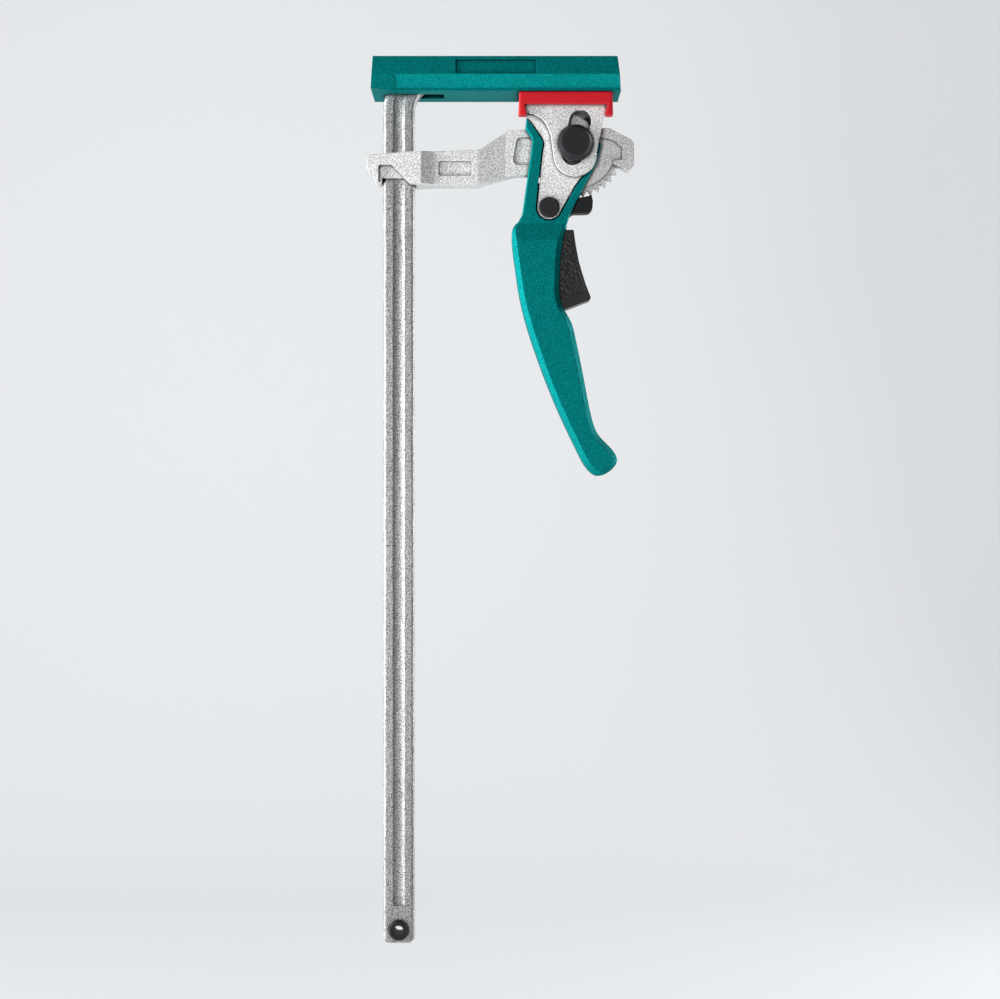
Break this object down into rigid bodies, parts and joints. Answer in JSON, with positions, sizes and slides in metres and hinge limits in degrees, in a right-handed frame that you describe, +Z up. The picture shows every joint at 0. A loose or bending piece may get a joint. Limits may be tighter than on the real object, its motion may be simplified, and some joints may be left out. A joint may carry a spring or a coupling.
{
  "type": "quick release bar clamp",
  "caption": "Lever bar clamp: fixed jaw on a profiled rail, sliding arm with a ratcheting cam lever, release trigger and capped pressure piece.",
  "frame": {"origin": "middle of the fixed jaw's clamping face, over the centre of the pressure cap, in the rail's middle plane", "axes": "+Z up along the rail towards the jaw, +X away from the rail, -Y towards the side that carries the axle's black head"},
  "size_m": [0.1418, 0.036, 0.4684],
  "materials": {
    "rail_steel": "drawn bar, blasted and nickel plated, fine grain",
    "teal_casting": "powder coat with a fine texture",
    "black_steel": "black oxide, satin",
    "silver_casting": "bead blasted casting",
    "bronze_bush": "sintered bronze, oiled",
    "zinc_steel": "zinc plated",
    "silver_plate": "blanked plate, blasted and plated",
    "black_trigger": "moulded, pebbled sides",
    "spring_steel": "tempered strip",
    "red_plastic": "soft moulded cap"
  },
  "bodies": {
    "frame": {"rail": "rail_steel", "fixed_jaw": "teal_casting", "stop_pin": "black_steel"},
    "arm": {"sliding_arm": "silver_casting", "arm_bush": "bronze_bush", "axle_pin": "black_steel", "axle_washer": "zinc_steel", "axle_circlip": "black_steel", "spacer_washers": "zinc_steel"},
    "lever": {"handle": "teal_casting", "cam_plate_front": "silver_plate", "cam_plate_rear": "silver_plate", "cam_rivet": "black_steel", "trigger_pin": "black_steel", "trigger_spring": "spring_steel"},
    "pressure": {"pressure_piece": "silver_casting", "pressure_cap": "red_plastic"},
    "trigger": {"trigger": "black_trigger", "pawl": "black_steel", "pawl_rivet": "zinc_steel"}
  },
  "joints": [
    {"name": "arm_slide", "type": "slide", "parent": "frame", "child": "arm", "axis": [0, 0, -1], "range_m": [0, 0.391]},
    {"name": "lever_swing", "type": "hinge", "parent": "arm", "child": "lever", "pos_m": [0.0052, 0, -0.0274], "axis": [0, -1, 0], "range_deg": [0, 43]},
    {"name": "pressure_slide", "type": "slide", "parent": "arm", "child": "pressure", "axis": [-0.225, 0, -0.9744], "range_m": [0, 0.0045]},
    {"name": "trigger_pull", "type": "hinge", "parent": "lever", "child": "trigger", "pos_m": [-0.00353, 0, -0.07032], "axis": [0, 1, 0], "range_deg": [0, 7], "stiffness_Nm_per_rad": 0.4, "springref_deg": -5.73, "deforming": ["trigger_spring"]}
  ],
  "couplings": [
    {"joint": "pressure_slide", "follows": "lever_swing", "m_per_rad": 0.005645}
  ]
}
